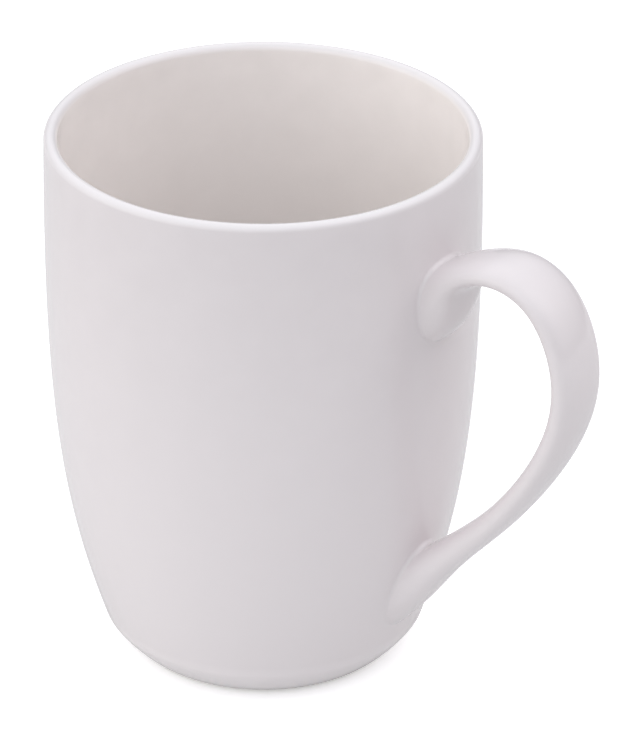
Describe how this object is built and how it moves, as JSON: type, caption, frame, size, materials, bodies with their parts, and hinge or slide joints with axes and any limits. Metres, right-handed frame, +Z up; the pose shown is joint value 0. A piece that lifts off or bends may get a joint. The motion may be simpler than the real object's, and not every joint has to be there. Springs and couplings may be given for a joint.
{
  "type": "ceramic mug",
  "caption": "Handled glazed mug with a rounded tapering body, a tall open strap handle for the fingers and a bare foot ring, for hot drinks.",
  "frame": {"origin": "centre of the foot ring's contact plane, on the cup's axis", "axes": "+Z up along the cup's axis from the foot to the lip, +X from the axis towards the handle"},
  "size_m": [0.1129, 0.0814, 0.1055],
  "materials": {
    "bisque": "matte, bare fired clay",
    "slip": "matte, fired slip",
    "glaze": "glossy white glaze",
    "liner_glaze": "glossy, slightly warm white glaze"
  },
  "bodies": {
    "root": {"cup_body": "bisque", "handle": "bisque", "upper_joint_slip": "slip", "lower_joint_slip": "slip", "outer_glaze": "glaze", "inner_glaze": "liner_glaze", "base_glaze": "glaze"}
  },
  "joints": []
}
